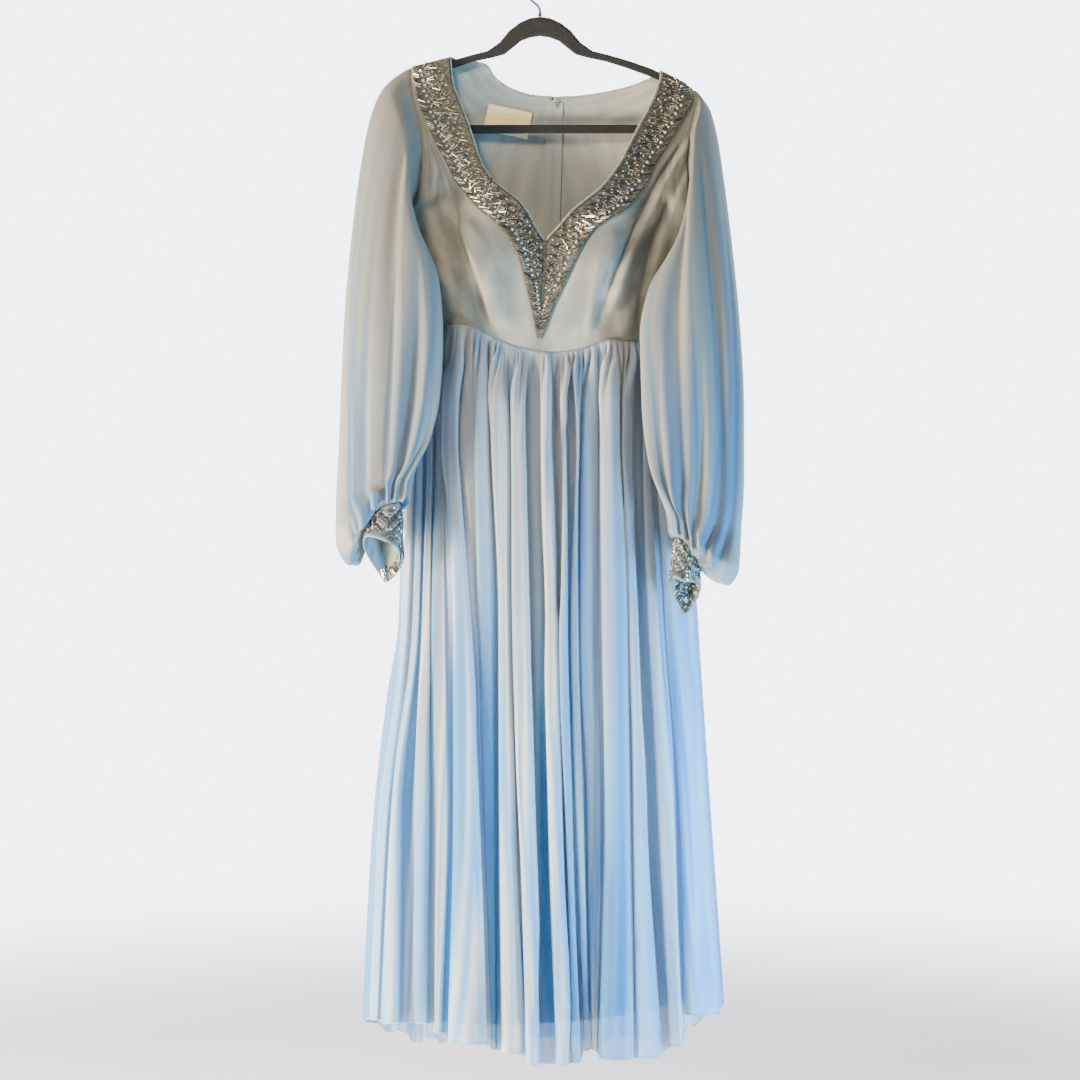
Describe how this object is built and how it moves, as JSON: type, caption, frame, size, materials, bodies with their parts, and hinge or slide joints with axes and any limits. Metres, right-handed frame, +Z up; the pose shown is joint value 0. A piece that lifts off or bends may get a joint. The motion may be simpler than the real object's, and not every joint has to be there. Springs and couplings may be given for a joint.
{
  "type": "long-sleeved evening dress on a clothes hanger",
  "caption": "Floor-length empire-waist evening dress hanging on a slim hanger: beaded V neckline, full gathered sleeves with beaded cuffs, gathered sheer skirt over a lining.",
  "frame": {"origin": "inside of the hook's bend, where a rail bears, on the hanger's middle plane", "axes": "+Z up along the dress, -Y out of its front, +X to the right as seen from the front"},
  "size_m": [0.5341, 0.2024, 1.4472],
  "materials": {
    "crepe": "soft matt",
    "chiffon": "sheer, matt",
    "taffeta": "soft sheen",
    "beadwork": "cloth covered in silver, gold and grey beads",
    "tape": "matt woven",
    "nickel": "dull nickel",
    "satin": "woven satin",
    "flock": "velvet flocking on plastic",
    "steel": "bright plated wire"
  },
  "bodies": {
    "dress": {"bodice_front": "crepe", "bodice_back_left": "crepe", "bodice_back_right": "crepe", "neck_binding": "crepe", "neck_band": "beadwork", "cuff_left": "beadwork", "cuff_right": "beadwork", "sleeve_left": "chiffon", "sleeve_right": "chiffon", "skirt_front": "chiffon", "skirt_back_left": "chiffon", "skirt_back_right": "chiffon", "lining_front": "taffeta", "lining_back": "taffeta", "zip_tape_left": "tape", "zip_tape_right": "tape", "zip_chain": "nickel", "zip_slider": "nickel", "label": "satin", "hanger_frame": "flock", "hanger_hook": "steel"},
    "zip_pull": {"zip_pull": "nickel"}
  },
  "joints": [
    {"name": "zip_pull_tab", "type": "hinge", "parent": "dress", "child": "zip_pull", "pos_m": [0.01995, 0.02014, -0.1785], "axis": [1, 0, 0], "range_deg": [0, 170]}
  ]
}
